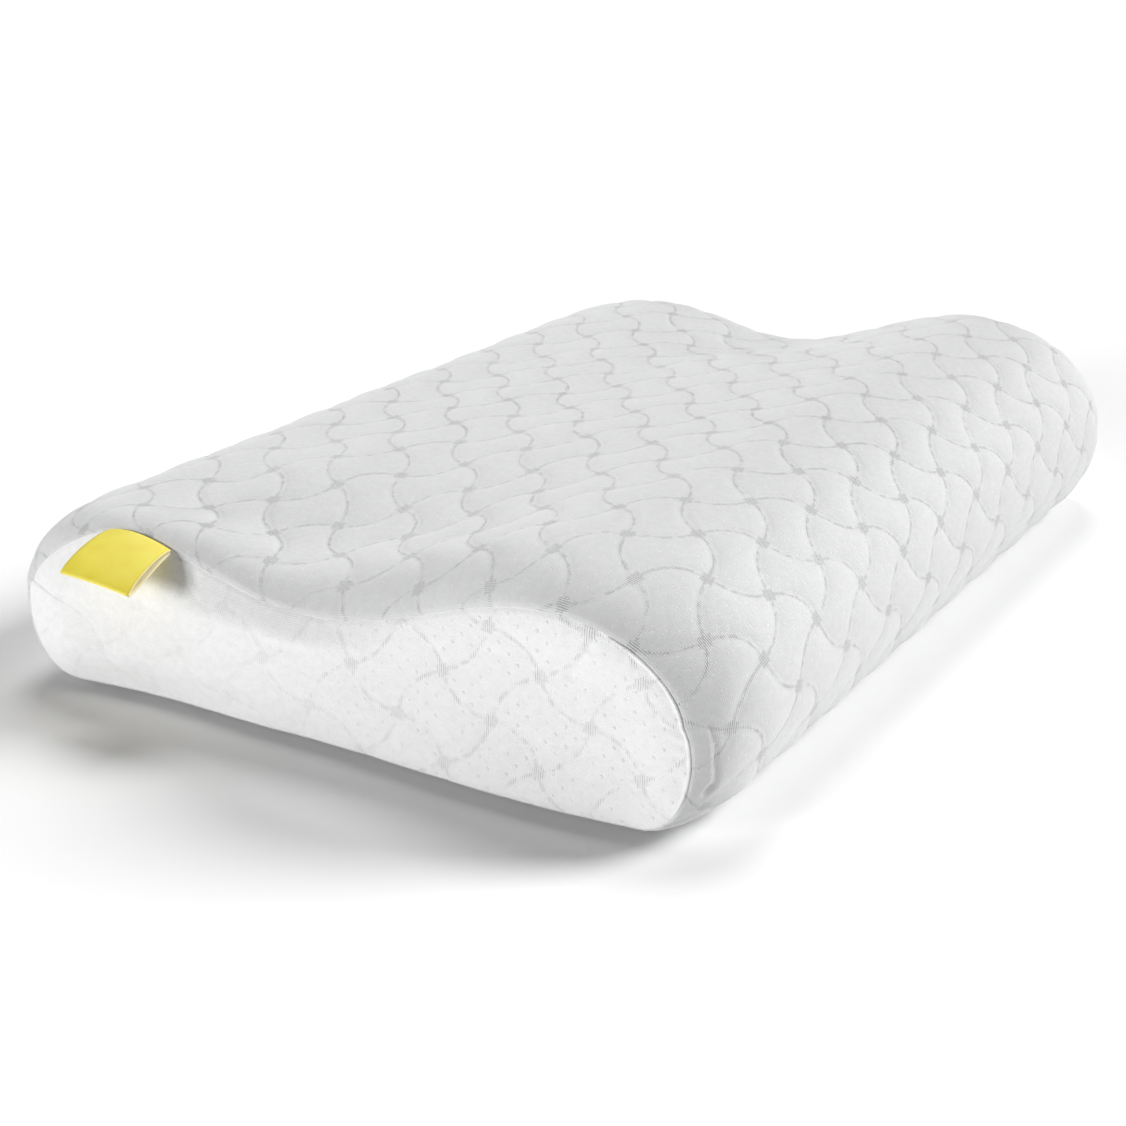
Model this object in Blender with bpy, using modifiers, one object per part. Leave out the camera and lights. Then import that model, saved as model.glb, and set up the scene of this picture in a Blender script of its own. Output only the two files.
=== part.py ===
"""Contour foam pillow: a filled wrap panel, two sewn-in end panels and a folded ribbon label.

The pillow lies flat on its back. The origin is at the middle of its underside, X runs along the
pillow, Y across its two lobes and Z up. Everything is in metres.
"""
import math

import bmesh
import bpy
import numpy as np

# Driving sizes of the foam
LENGTH = 0.600          # between the flat planes of the two ends
WIDTH = 0.400           # across the two lobes
FRONT_HEIGHT = 0.119    # crest of the fuller lobe, on the -Y side
DIP_HEIGHT = 0.089      # lowest line of the hollow that the head lies in
BACK_HEIGHT = 0.103     # crest of the lower lobe, on the +Y side
FRONT_CREST_Y = -0.112
DIP_Y = 0.018
BACK_CREST_Y = 0.102
FRONT_BULGE_Z = 0.052   # height at which the front side stands out furthest
BACK_BULGE_Z = 0.054
FRONT_UNDERCUT = 0.040  # how far the side rolls in before the underside lies flat
BACK_UNDERCUT = 0.044

# Roll of the wrap panel over each end, and the seam on it
ROLL_LENGTH = 0.054     # along the pillow
ROLL_DEPTH = 0.0235     # across the section
SEAM_INSET = 0.0205     # from the full section to the end seam
UNDERSIDE_SHARE = 0.35  # the underside draws in by this share of the top's roll
SIDE_SPREAD = 1.2       # where between underside and side the full roll is reached
ROLL_STEPS = 8
MIDDLE_STATIONS = 15

# How far each end stands out past its plane, from the front side to the back
SWELL_Y = (-0.200, -0.112, 0.030, 0.110, 0.200)
SWELL_X = (0.003, 0.007, -0.002, -0.006, -0.001)
SWELL_REACH = 0.110     # along the pillow, over which the swell dies away

# The end seam runs higher over the lower lobe, where the roll takes this share of its depth
ROLL_Y = (-0.200, -0.112, 0.080, 0.130, 0.200)
ROLL_SHARE = (1.0, 1.0, 1.0, 0.60, 0.95)
ROLL_SHARE_Z = (0.045, 0.085)   # none of it below the first height, all above the second

# Between the ends the cloth bridges the hollow and sinks a little over the lower lobe, most
# of all beside the near end. Each row: rise, middle and reach across, places along, shares
TOP_RISES = (
    (0.0178, 0.003, 0.098, (-0.260, -0.085, 0.085, 0.260), (0.0, 1.0, 1.0, 0.0)),
    (-0.0050, 0.115, 0.052, (-0.299, -0.200, 0.080, 0.240), (0.0, 1.0, 1.0, 0.0)),
    (-0.0120, 0.082, 0.100, (-0.299, -0.250, -0.170), (0.0, 1.0, 0.0)),
)
TOP_RISE_Z = (0.055, 0.085)     # none of it below the first height, all above the second

# End panels
PANEL_THICKNESS = 0.002
PANEL_CROWN = 0.005     # how far the middle of a panel swells past its rim
PANEL_GAP = 0.0003      # clear of the wrap panel all round
PANEL_RINGS = (0.0, 0.05, 0.13, 0.26, 0.44, 0.66)   # shares of the way to the panel's spine
SPINE_HEIGHT = 0.45     # of the local height: the line that the panel's rings close towards
SPINE_MARGIN = 0.062    # from each side to the end of that line

# Folded ribbon label, caught in the top seam of the near end over the lower lobe
LABEL_WIDTH = 0.040
LABEL_ROOT_WIDTH = 0.0360   # drawn together a little where it is sewn in
LABEL_LENGTH = 0.032
LABEL_THICKNESS = 0.001
LABEL_Y = 0.1155
LABEL_ROOT_Y = 0.1135
LABEL_DROOP = 0.0123
LABEL_GAPE = 0.0018     # half of the lens-shaped gap between its two layers
LABEL_ROOT_OPEN = 0.0007
LABEL_SEAT = 0.0004     # from the end seam to the ribbon's root
LABEL_STEPS = 12
LABEL_COLUMNS = 6
LABEL_BOW = 0.0004      # the ribbon is a little higher along the middle of its fold
LABEL_STRAIGHT = 0.7    # share of its length over which it leaves the seam's curve

COLLECTION = "contour_foam_pillow"
MATERIALS = {
    # name: colour, roughness
    "knit_cover": ((0.83, 0.84, 0.86), 0.90),
    "end_cover": ((0.90, 0.90, 0.91), 0.90),
    "satin_ribbon": ((0.90, 0.80, 0.22), 0.45),
}


def clear_scene():
    """Remove whatever the open scene holds."""
    for scene_object in list(bpy.data.objects):
        bpy.data.objects.remove(scene_object, do_unlink=True)
    for collection in list(bpy.data.collections):
        bpy.data.collections.remove(collection)


def make_material(name):
    """A plain Principled material from the table above."""
    colour, roughness = MATERIALS[name]
    material = bpy.data.materials.new(name)
    material.use_nodes = True
    shader = material.node_tree.nodes["Principled BSDF"]
    shader.inputs["Base Color"].default_value = (*colour, 1.0)
    shader.inputs["Roughness"].default_value = roughness
    shader.inputs["Metallic"].default_value = 0.0
    return material


def arc(centre_y, centre_z, reach_y, reach_z, start, end, steps):
    """Points on a quarter of an ellipse; angles in degrees, the last point left out."""
    points = []
    for step in range(steps):
        angle = math.radians(start + (end - start) * step / steps)
        y = centre_y + reach_y * math.cos(angle)
        z = centre_z + reach_z * math.sin(angle)
        points.append((y, z))
    return points


def ease(y_from, z_from, y_to, z_to, steps):
    """Points on a smooth half wave from one level to the next, the last point left out."""
    points = []
    for step in range(steps):
        share = step / steps
        blend = 0.5 - 0.5 * math.cos(math.pi * share)
        points.append((y_from + (y_to - y_from) * share, z_from + (z_to - z_from) * blend))
    return points


def full_section():
    """The pillow's section as a closed ring of (y, z), from the underside round the front."""
    half = WIDTH / 2
    front_flat = -half + FRONT_UNDERCUT
    back_flat = half - BACK_UNDERCUT
    ring = ease(back_flat, 0.0, front_flat, 0.0, 22)
    ring += arc(front_flat, FRONT_BULGE_Z, FRONT_UNDERCUT, FRONT_BULGE_Z, 270, 180, 11)
    ring += arc(FRONT_CREST_Y, FRONT_BULGE_Z, half + FRONT_CREST_Y, FRONT_HEIGHT - FRONT_BULGE_Z,
                180, 90, 16)
    ring += ease(FRONT_CREST_Y, FRONT_HEIGHT, DIP_Y, DIP_HEIGHT, 16)
    ring += ease(DIP_Y, DIP_HEIGHT, BACK_CREST_Y, BACK_HEIGHT, 11)
    ring += arc(BACK_CREST_Y, BACK_BULGE_Z, half - BACK_CREST_Y, BACK_HEIGHT - BACK_BULGE_Z,
                90, 0, 14)
    ring += arc(back_flat, BACK_BULGE_Z, BACK_UNDERCUT, BACK_BULGE_Z, 360, 270, 11)
    return np.array(ring)


def inward_normals(ring):
    """The unit inward normal at each point of a ring."""
    along = np.roll(ring, -1, axis=0) - np.roll(ring, 1, axis=0)
    along /= np.linalg.norm(along, axis=1)[:, None]
    return np.stack([along[:, 1], -along[:, 0]], axis=1)


def draw_of(section):
    """For each point of the section, the way the cloth draws in: less along the underside."""
    normals = inward_normals(section)
    upward = np.clip((1.0 - normals[:, 1]) / SIDE_SPREAD, 0.0, 1.0)
    share = UNDERSIDE_SHARE + (1.0 - UNDERSIDE_SHARE) * upward
    return normals * share[:, None]


def stations():
    """(x, inset) pairs from the near seam to the far seam."""
    seam_angle = math.acos(1.0 - SEAM_INSET / ROLL_DEPTH)
    flat_end = LENGTH / 2 - ROLL_LENGTH
    roll = []
    for step in range(ROLL_STEPS + 1):
        angle = seam_angle * step / ROLL_STEPS
        roll.append((flat_end + ROLL_LENGTH * math.sin(angle), ROLL_DEPTH * (1 - math.cos(angle))))
    middle = []
    for step in range(1, MIDDLE_STATIONS + 1):
        middle.append((-flat_end + 2 * flat_end * step / (MIDDLE_STATIONS + 1), 0.0))
    near = [(-x, inset) for x, inset in reversed(roll)]
    return near + middle + roll


def smooth_step(share):
    """0 to 1 with a level start and end."""
    share = np.clip(share, 0.0, 1.0)
    return share * share * (3.0 - 2.0 * share)


def eased_table(y, places, values):
    """The table's value at y, eased between its places."""
    y = np.asarray(y, dtype=float)
    result = np.full(y.shape, values[0])
    for index in range(len(places) - 1):
        share = (y - places[index]) / (places[index + 1] - places[index])
        result += (values[index + 1] - values[index]) * smooth_step(share)
    return result


def roll_share(section):
    """The share of the roll's depth that each point of the section takes."""
    along_top = eased_table(section[:, 0], ROLL_Y, ROLL_SHARE)
    low, high = ROLL_SHARE_Z
    return 1.0 - (1.0 - along_top) * smooth_step((section[:, 1] - low) / (high - low))


def swollen_x(x, y):
    """x moved out by the end's swell, which dies away along the pillow."""
    share = smooth_step((abs(x) - (LENGTH / 2 - SWELL_REACH)) / SWELL_REACH)
    return x + math.copysign(1.0, x) * eased_table(y, SWELL_Y, SWELL_X) * share


def top_rise(x, section):
    """How far the top stands above the ends' section at one station along the pillow."""
    rise = np.zeros(len(section))
    for height, middle, reach, places, shares in TOP_RISES:
        off = np.clip(np.abs(section[:, 0] - middle) / reach, 0.0, 1.0)
        rise += height * eased_table(x, places, shares) * np.cos(np.pi / 2 * off) ** 2
    low, high = TOP_RISE_Z
    return rise * smooth_step((section[:, 1] - low) / (high - low))


def ring_at(section, draw, x, inset):
    """The section at one station as 3-D points, never below the surface it rests on."""
    ring = section + draw * (inset * roll_share(section))[:, None]
    ring[:, 1] += top_rise(x, section)
    ring[:, 1] = np.maximum(ring[:, 1], 0.0)
    return np.column_stack([swollen_x(x, ring[:, 0]), ring])


def towards_spine(ring, share):
    """Draw a ring in towards a line through the middle of the end."""
    limit = WIDTH / 2 - SPINE_MARGIN
    spine_y = np.clip(ring[:, 1], -limit, limit)
    front_z = SPINE_HEIGHT * FRONT_HEIGHT
    back_z = SPINE_HEIGHT * BACK_HEIGHT
    spine_z = front_z + (back_z - front_z) * (spine_y + limit) / (2 * limit)
    drawn = ring.copy()
    drawn[:, 1] += (spine_y - ring[:, 1]) * share
    drawn[:, 2] += (spine_z - ring[:, 2]) * share
    return drawn


def end_surface(rim, side, depth):
    """Rings of the crowned end, from its swollen rim to its flat middle, at a depth below its face."""
    rings = []
    for share in PANEL_RINGS:
        ring = towards_spine(rim, share)
        part_way = share / PANEL_RINGS[-1]
        ring[:, 0] += (side * LENGTH / 2 - ring[:, 0]) * part_way ** 2
        ring[:, 0] += side * (PANEL_CROWN * math.sin(math.pi / 2 * part_way) - depth)
        rings.append(ring)
    return rings


def loft(rings):
    """A closed mesh through rings of equal length, closed by one face at each end.

    Every patch is split along the same diagonal, so that a panel and the recess under it,
    which are lofted in the same order, stay an even gap apart.
    """
    mesh = bmesh.new()
    rows = [[mesh.verts.new(point) for point in ring] for ring in rings]
    count = len(rows[0])
    for row, following in zip(rows, rows[1:]):
        for index in range(count):
            after = (index + 1) % count
            mesh.faces.new((row[index], row[after], following[after]))
            mesh.faces.new((row[index], following[after], following[index]))
    mesh.faces.new(list(reversed(rows[0])))
    mesh.faces.new(rows[-1])
    bmesh.ops.recalc_face_normals(mesh, faces=mesh.faces)
    return mesh


def add_object(name, mesh, material, collection):
    """Put a bmesh into the scene as a named object, shaded smooth but for sharp rims."""
    data = bpy.data.meshes.new(name)
    mesh.to_mesh(data)
    mesh.free()
    data.materials.append(material)
    data.shade_smooth()
    data.set_sharp_from_angle(angle=math.radians(40))
    scene_object = bpy.data.objects.new(name, data)
    collection.objects.link(scene_object)
    return scene_object


def filled_wrap():
    """The foam in its wrap panel, with a shallow recess at each end for the end panel."""
    section = full_section()
    draw = draw_of(section)
    rings = [ring_at(section, draw, x, inset) for x, inset in stations()]
    depth = PANEL_THICKNESS + PANEL_GAP
    near_floor = end_surface(rings[0], -1, depth)
    far_floor = end_surface(rings[-1], 1, depth)
    return loft(list(reversed(near_floor)) + rings + far_floor)


def end_panel(side):
    """A sewn-in end panel with a slight crown; side is -1 at the near end, 1 at the far end."""
    section = full_section()
    seam_x = stations()[-1][0]
    rim = ring_at(section, draw_of(section), side * seam_x, SEAM_INSET)
    rim[:, 1:] += inward_normals(rim[:, 1:]) * PANEL_GAP
    back = end_surface(rim, side, PANEL_THICKNESS)
    face = end_surface(rim, side, 0.0)
    outer, inner = (face, back) if side > 0 else (back, face)
    return loft(list(reversed(outer)) + inner)


def seam_place(y):
    """(x, z) of the near end's top seam at one place across the pillow."""
    section = full_section()
    seam = ring_at(section, draw_of(section), -stations()[-1][0], SEAM_INSET)
    top = seam[seam[:, 2] > BACK_BULGE_Z]
    top = top[np.argsort(top[:, 1])]
    return float(np.interp(y, top[:, 1], top[:, 0])), float(np.interp(y, top[:, 1], top[:, 2]))


def ribbon_path():
    """The label's folded path as (outward, up) pairs, from its lower root round the fold."""
    path = []
    for step in range(2 * LABEL_STEPS + 1):
        turn = step / LABEL_STEPS - 1.0
        out = LABEL_LENGTH * (1.0 - abs(turn) ** 1.6)
        lens = math.sin(math.pi * abs(turn)) ** 0.8 if abs(turn) < 1.0 else 0.0
        half_gap = LABEL_ROOT_OPEN * abs(turn) + LABEL_GAPE * lens
        droop = LABEL_DROOP * (out / LABEL_LENGTH) ** 1.4
        path.append((out, math.copysign(half_gap, turn) - droop))
    return path


def ribbon_label():
    """A short ribbon folded into a loop, standing out of the end seam with a slight droop."""
    path = ribbon_path()
    mesh = bmesh.new()
    first_z = seam_place(LABEL_ROOT_Y - LABEL_ROOT_WIDTH / 2)[1]
    last_z = seam_place(LABEL_ROOT_Y + LABEL_ROOT_WIDTH / 2)[1]
    columns = []
    for column in range(LABEL_COLUMNS + 1):
        across = column / LABEL_COLUMNS - 0.5
        root_y = LABEL_ROOT_Y + LABEL_ROOT_WIDTH * across
        fold_y = LABEL_Y + LABEL_WIDTH * across
        seam_x, seam_z = seam_place(root_y)
        level_z = first_z + (last_z - first_z) * (across + 0.5)
        bow = LABEL_BOW * (1.0 - (2 * across) ** 2)
        verts = []
        for out, up in path:
            free = float(smooth_step(out / LABEL_LENGTH / LABEL_STRAIGHT))
            x = seam_x - LABEL_SEAT - LABEL_THICKNESS / 2 - out
            y = root_y + (fold_y - root_y) * out / LABEL_LENGTH
            z = seam_z + (level_z - seam_z + bow) * free + up
            verts.append(mesh.verts.new((x, y, z)))
        columns.append(verts)
    for left, right in zip(columns, columns[1:]):
        for index in range(len(path) - 1):
            mesh.faces.new((left[index], right[index], right[index + 1], left[index + 1]))
    return mesh


def build():
    """Make every piece of the pillow in its own collection."""
    clear_scene()
    collection = bpy.data.collections.new(COLLECTION)
    bpy.context.scene.collection.children.link(collection)
    cover = make_material("knit_cover")
    panel_cover = make_material("end_cover")
    satin = make_material("satin_ribbon")
    add_object("filled_wrap", filled_wrap(), cover, collection)
    add_object("end_panel_near", end_panel(-1), panel_cover, collection)
    add_object("end_panel_far", end_panel(1), panel_cover, collection)
    label = add_object("label_loop", ribbon_label(), satin, collection)
    thickness = label.modifiers.new("ribbon thickness", "SOLIDIFY")
    thickness.thickness = LABEL_THICKNESS
    thickness.offset = 0.0
    thickness.use_even_offset = True


build()
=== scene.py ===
import math

import bmesh
import bpy
import numpy as np
from bpy.props import FloatProperty, FloatVectorProperty, PointerProperty
from mathutils import Matrix, noise


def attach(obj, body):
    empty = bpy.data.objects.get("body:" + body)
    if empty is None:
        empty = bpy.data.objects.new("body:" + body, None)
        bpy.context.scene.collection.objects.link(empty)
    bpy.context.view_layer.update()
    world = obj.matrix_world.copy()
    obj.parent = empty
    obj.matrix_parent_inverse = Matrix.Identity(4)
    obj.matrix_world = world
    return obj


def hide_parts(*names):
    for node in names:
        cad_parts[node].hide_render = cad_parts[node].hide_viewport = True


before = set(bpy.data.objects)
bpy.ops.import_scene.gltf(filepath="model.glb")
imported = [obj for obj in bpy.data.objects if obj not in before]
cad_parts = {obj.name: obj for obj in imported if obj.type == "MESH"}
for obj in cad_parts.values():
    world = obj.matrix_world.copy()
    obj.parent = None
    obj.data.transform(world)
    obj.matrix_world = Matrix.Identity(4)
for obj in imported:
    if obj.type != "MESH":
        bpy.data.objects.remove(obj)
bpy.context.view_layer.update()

bl_info = {
    "name": "Contour foam pillow",
    "version": (1, 0, 0),
    "blender": (4, 5, 0),
    "location": "3D View > Sidebar > Pillow",
    "description": "Quilted knit cover, end panels and ribbon label for a contour foam pillow",
    "category": "Object",
}

# The foam's section and ends, in metres, as in the pillow's source
LENGTH = 0.600
WIDTH = 0.400
FRONT_HEIGHT = 0.119
DIP_HEIGHT = 0.089
BACK_HEIGHT = 0.103
FRONT_CREST_Y = -0.112
DIP_Y = 0.018
BACK_CREST_Y = 0.102
FRONT_BULGE_Z = 0.052
BACK_BULGE_Z = 0.054
FRONT_UNDERCUT = 0.040
BACK_UNDERCUT = 0.044
ROLL_LENGTH = 0.054      # the ends roll over from this far in
ROLL_DEPTH = 0.0235
SEAM_INSET = 0.0205
UNDERSIDE_SHARE = 0.35   # share of the roll that the underside takes
SIDE_SPREAD = 1.2
SWELL_Y = (-0.200, -0.112, 0.030, 0.110, 0.200)
SWELL_X = (0.003, 0.007, -0.002, -0.006, -0.001)
SWELL_REACH = 0.110      # the swell of each end fades out over this length
ROLL_Y = (-0.200, -0.112, 0.080, 0.130, 0.200)
ROLL_SHARE = (1.0, 1.0, 1.0, 0.60, 0.95)
ROLL_SHARE_Z = (0.045, 0.085)

# Between the ends the cloth bridges the hollow and sinks a little over the lower lobe
TOP_RISES = (
    # rise, middle and reach across, places along, share at each place
    (0.0178, 0.003, 0.098, (-0.260, -0.085, 0.085, 0.260), (0.0, 1.0, 1.0, 0.0)),
    (-0.0050, 0.115, 0.052, (-0.299, -0.200, 0.080, 0.240), (0.0, 1.0, 1.0, 0.0)),
    (-0.0120, 0.082, 0.100, (-0.299, -0.250, -0.170), (0.0, 1.0, 0.0)),
)
TOP_RISE_Z = (0.055, 0.085)

# End panels, drawn in towards a line along the middle of each end
PANEL_THICKNESS = 0.002
PANEL_CROWN = 0.005
CROWN_SHARE = 0.66       # how far in from the seam the crown is reached
PANEL_GAP = 0.0003
SEAM_GAP = 0.0001        # as sewn, closer than the solids
SPINE_HEIGHT = 0.45
SPINE_MARGIN = 0.062

# The folded label, from its root in the seam to its fold
LABEL_SEAT = 0.0004
LABEL_Y = 0.1155
LABEL_ROOT_Y = 0.1135
LABEL_ROOT_SHARE = 0.90  # its width in the seam, as a share of its width at the fold
LABEL_DROOP = 0.0123
LABEL_GAPE = 0.0018      # how far each layer bows out from between
LABEL_ROOT_OPEN = 0.0007
LABEL_BOW = 0.0004
LABEL_STRAIGHT = 0.7     # beyond this share of its length it no longer follows the seam
LABEL_FOLD_CURVE = 1.6   # how round the fold is
LABEL_GAPE_CURVE = 0.8   # how blunt the opening between the two layers is
LABEL_DROOP_CURVE = 1.4
RIBBON_THICKNESS = 0.0007
RIBBON_SEAT = 0.0005     # how far the ribbon starts outside its solid's root

# How finely the cloth is meshed
TOP_STEP = 0.0021        # round the section, where the quilting shows
UNDERSIDE_STEP = 0.0060
UNDERSIDE_Z = 0.004      # below this the wider step is used
STEP_BLEND = 12          # points of the drawn section over which the steps blend
TOP_Z = 0.07             # above this a point is on the top, from which cloth is measured
WRAP_STEP = 0.0023       # along the pillow
ROLL_STEPS = 36
ROLL_CLOSING = 1.35      # how the rings crowd towards the seam
PANEL_RINGS = 46
PANEL_CLOSING = 1.55
PANEL_REACH = 0.955      # the last ring's share of the way to the panel's middle line
PANEL_BACK_SHARES = (CROWN_SHARE, 0.44, 0.26, 0.13, 0.05, 0.0)
WRAP_FLOOR_SHARES = (0.03, 0.10, 0.25, 0.44, CROWN_SHARE)
RIBBON_STEPS = 40        # from the seam to the fold
RIBBON_COLUMNS = 24      # across

# Quilting: axe-head tiles on a slanting lattice, with the steps from one corner of a
# tile to the next along its two directions, in metres of cloth
WRAP_TILES = {"origin": (-0.24782, 0.11225), "first": (0.02622, -0.02190),
              "second": (-0.03072, -0.02150)}
END_TILES = {"origin": (-0.1107, 0.0674), "first": (-0.0250, -0.0186),
             "second": (-0.0240, 0.0258)}
TILE_WAVE = 0.17         # how far the tiles' edges curve, as a share of a tile
PUFF_POWER = 2.5         # how square-shouldered a puffed tile is

# How the cloth settles over the foam, in metres unless it is a share
WRAP_SETTLED = {
    "floor_from": 0.001, "floor_fade": 0.012,     # relief fades where the wrap rests
    "seam_from": 0.004, "seam_fade": 0.022,       # and beside the seam
    "seam_puff": 0.25,                            # share of the puff kept at the seam
    "sink": 0.0006, "sink_fade": 0.008,           # the cloth lies a little into the foam
    "seam_sink": 0.2,                             # share of that kept at the seam
    "dip_reach": 0.0030, "ridge_dip": 0.6,        # the seam's dip, less beside its ridge
}
END_SETTLED = {
    "seam_from": 0.003, "seam_fade": 0.015,       # relief fades beside the seam
    "level": 0.6,                                 # the puff at which the cloth lies level
    "dip_reach": 0.0026,
    "ridge_place": 0.0006, "ridge_width": 0.0007,
    "gather_depth": 0.00028, "gather_least": 0.35,
    "middle_from": 0.60, "middle_fade": 0.34,     # level again towards the middle line
    "back_follow": 0.5, "back_gap": 0.0002,       # how the panel's back keeps under it
}
WRAP_UNEVEN = {"scale": 14.0, "seed": 3.7}
END_UNEVEN = {"scale": 16.0, "seed": 9.1}
RIDGE_Y = (-0.122, 0.032)    # the seam's ridge: where it starts, and how soon it is full
RIDGE_Z = (0.012, 0.012)     # the same upward
GATHER_PITCH = 0.0105
GATHER_DRIFT = (2.2, 0.047)  # how much the pitch drifts, and over what length
GATHER_REACH = (0.002, 0.011)    # from the seam, where they start to fade and how soon
GATHER_START = (0.001, 0.002)    # and where they start to show

# The knit: its steps in metres of cloth, and how its grooves, tie stitches and pin dots
# stand on each panel, with the painted shade and painted highlight they get there
RIB_STEP = 0.0011        # between the tie stitches' ribs
ROW_STEP = 0.00085       # between the knit's rows
LOOP_STEP = ROW_STEP * 1.3
RIB_WAVER = 2.2          # how far the ribs wander from straight, in radians
ROW_WAVER = 3.0
PIN_DRIFT = 0.0030
KNIT_RELIEF = 0.0005     # height that a bump of 1 stands for
KNIT_NOISE = {           # how fine each unevenness is, in waves per metre
    "worn": 70.0, "waver": 140.0, "broken": 210.0, "drift": 38.0, "missing": 85.0,
    "fuzz": 900.0, "patches": 16.0, "mottle": 230.0,
}
WRAP_KNIT = {
    "groove_depth": 0.26, "groove_painted_shade": 0.10, "rib_height": 0.28, "rib_painted_shade": 0.28,
    "rib_band": 0.0017, "knot_reach": 0.0044, "knot_painted_shade": 0.03, "pin_height": 0.20,
    "pin_painted_shade": 0.0, "pin_painted_highlight": 0.16, "pin_step": 0.0086, "slack_and_shade": None,
}
END_KNIT = {
    "groove_depth": 0.10, "groove_painted_shade": 0.02, "rib_height": 0.26, "rib_painted_shade": 0.025,
    "rib_band": 0.0018, "knot_reach": 0.0038, "knot_painted_shade": 0.0, "pin_height": -0.50,
    "pin_painted_shade": 0.24, "pin_painted_highlight": 0.0, "pin_step": 0.0094, "slack_and_shade": (0.085, -0.105),
}
END_SIDE_PAINTED_SHADE = 0.17       # painted shade: how much darker the end panels' knit is painted towards the fuller lobe
SLACK_LEAST_PINS = 0.12  # share of the pin dots left where the knit is pulled smooth

# The ribbon's satin
SATIN_RIB_STEP = 0.00050
SATIN_WEAVE_STEP = 0.00065
SATIN_RELIEF = 0.00012
SATIN_HALF_WIDTH = 0.020

# Creases pressed into the cloth: from and to (on the cloth), half width, depth
WRAP_CREASES = (
    ((-0.2950, -0.2300), (-0.2934, -0.2495), 0.0012, 0.0007),
    ((-0.2934, -0.2495), (-0.2904, -0.2645), 0.0012, 0.0009),
    ((-0.2939, -0.2675), (-0.2915, -0.2635), 0.0020, 0.0017),
)
END_CREASES = (
    ((-0.1400, 0.0930), (-0.1345, 0.0850), 0.0022, 0.0016),
    ((-0.1345, 0.0850), (-0.1255, 0.0710), 0.0020, 0.0010),
)

# Camera, as the photograph was taken: turn, height and roll in radians
CAMERA_TURN = -1.08031
CAMERA_RISE = 0.33530
CAMERA_ROLL = 0.02134
CAMERA_OFFSET = (-0.03684, 0.00802)
CAMERA_DISTANCE = 1.24729
CAMERA_FOCAL_PIXELS = 2142.68
IMAGE_PIXELS = 1126
SENSOR_MM = 36.0

# Studio
FLOOR_REACH = 12.0
FLOOR_Z = -0.0005        # just under the pillow's rest face
WHITE = (1.0, 1.0, 1.0, 1.0)


# Shape of the foam

def arc(centre_y, centre_z, reach_y, reach_z, start, end, steps):
    """Points on part of an ellipse; angles in degrees, the last point left out."""
    turns = np.radians(start + (end - start) * np.arange(steps) / steps)
    return np.stack([centre_y + reach_y * np.cos(turns), centre_z + reach_z * np.sin(turns)], 1)


def ease(y_from, z_from, y_to, z_to, steps):
    """Points on a smooth half wave from one level to the next, the last point left out."""
    shares = np.arange(steps) / steps
    blend = 0.5 - 0.5 * np.cos(np.pi * shares)
    return np.stack([y_from + (y_to - y_from) * shares, z_from + (z_to - z_from) * blend], 1)


def smooth_step(share):
    """0 to 1 with a level start and end."""
    share = np.clip(share, 0.0, 1.0)
    return share * share * (3.0 - 2.0 * share)


def drawn_section():
    """The pillow's section as a very fine ring of (y, z), from the underside round the front."""
    half = WIDTH / 2
    front_flat = -half + FRONT_UNDERCUT
    back_flat = half - BACK_UNDERCUT
    return np.vstack([
        ease(back_flat, 0.0, front_flat, 0.0, 220),
        arc(front_flat, FRONT_BULGE_Z, FRONT_UNDERCUT, FRONT_BULGE_Z, 270, 180, 110),
        arc(FRONT_CREST_Y, FRONT_BULGE_Z, half + FRONT_CREST_Y, FRONT_HEIGHT - FRONT_BULGE_Z,
            180, 90, 160),
        ease(FRONT_CREST_Y, FRONT_HEIGHT, DIP_Y, DIP_HEIGHT, 160),
        ease(DIP_Y, DIP_HEIGHT, BACK_CREST_Y, BACK_HEIGHT, 110),
        arc(BACK_CREST_Y, BACK_BULGE_Z, half - BACK_CREST_Y, BACK_HEIGHT - BACK_BULGE_Z,
            90, 0, 140),
        arc(back_flat, BACK_BULGE_Z, BACK_UNDERCUT, BACK_BULGE_Z, 360, 270, 110),
    ])


def cloth_section():
    """The section spaced for the cloth's mesh: ring (y, z), inward draw and cloth length."""
    ring = drawn_section()
    closed = np.vstack([ring, ring[:1]])
    length = np.concatenate([[0.0], np.cumsum(np.linalg.norm(np.diff(closed, axis=0), axis=1))])
    density = np.where(ring[:, 1] < UNDERSIDE_Z, 1.0 / UNDERSIDE_STEP, 1.0 / TOP_STEP)
    blend = np.ones(2 * STEP_BLEND + 1) / (2 * STEP_BLEND + 1)
    density = np.convolve(np.pad(density, STEP_BLEND, mode="wrap"), blend, mode="valid")
    load = np.concatenate([[0.0], np.cumsum(density * np.diff(length))])
    count = int(load[-1])
    places = np.interp(np.arange(count) * load[-1] / count, load, length)
    spaced = np.stack([np.interp(places, length, closed[:, axis]) for axis in (0, 1)], 1)
    normals = inward_normals(spaced)
    upward = np.clip((1.0 - normals[:, 1]) / SIDE_SPREAD, 0.0, 1.0)
    draw = normals * (UNDERSIDE_SHARE + (1.0 - UNDERSIDE_SHARE) * upward)[:, None]
    top = np.where(ring[:, 1] > TOP_Z)[0]
    middle = length[top[np.argmin(np.abs(ring[top, 0]))]]
    return spaced, draw, places - middle


def inward_normals(ring):
    """The unit inward normal at each point of a ring."""
    along = np.roll(ring, -1, axis=0) - np.roll(ring, 1, axis=0)
    along /= np.linalg.norm(along, axis=1)[:, None]
    return np.stack([along[:, 1], -along[:, 0]], axis=1)


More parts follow.
